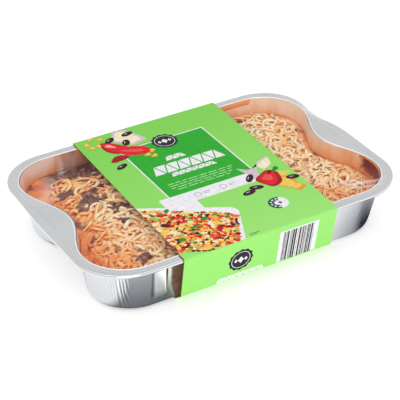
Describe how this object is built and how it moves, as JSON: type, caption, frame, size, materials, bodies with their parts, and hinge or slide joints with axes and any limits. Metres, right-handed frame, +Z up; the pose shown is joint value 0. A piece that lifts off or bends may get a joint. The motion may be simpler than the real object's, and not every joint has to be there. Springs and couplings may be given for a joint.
{
  "type": "foil tray meal",
  "caption": "Sealed ready meal: beef bake under grated cheese in a pinched foil tray with clear film, held in a printed card sleeve.",
  "frame": {"origin": "under the middle of the sleeve, on the surface that the pack stands on", "axes": "+X along the tray through the sleeve, -Y towards the side panel with the bar pattern, +Z up"},
  "size_m": [0.2702, 0.1912, 0.0443],
  "materials": {
    "satin_foil": "satin, smooth walls with fine draw wrinkles at the corners",
    "beef_sauce": "moist meat and sauce",
    "grated_cheese": "soft shreds, partly soaked in sauce",
    "clear_film": "clear with a light haze",
    "green_card": "printed and varnished outside, brown board inside"
  },
  "bodies": {
    "root": {"foil_tray": "satin_foil", "beef_bake": "beef_sauce", "grated_cheese": "grated_cheese", "lidding_film": "clear_film", "carton_sleeve": "green_card"}
  },
  "joints": []
}
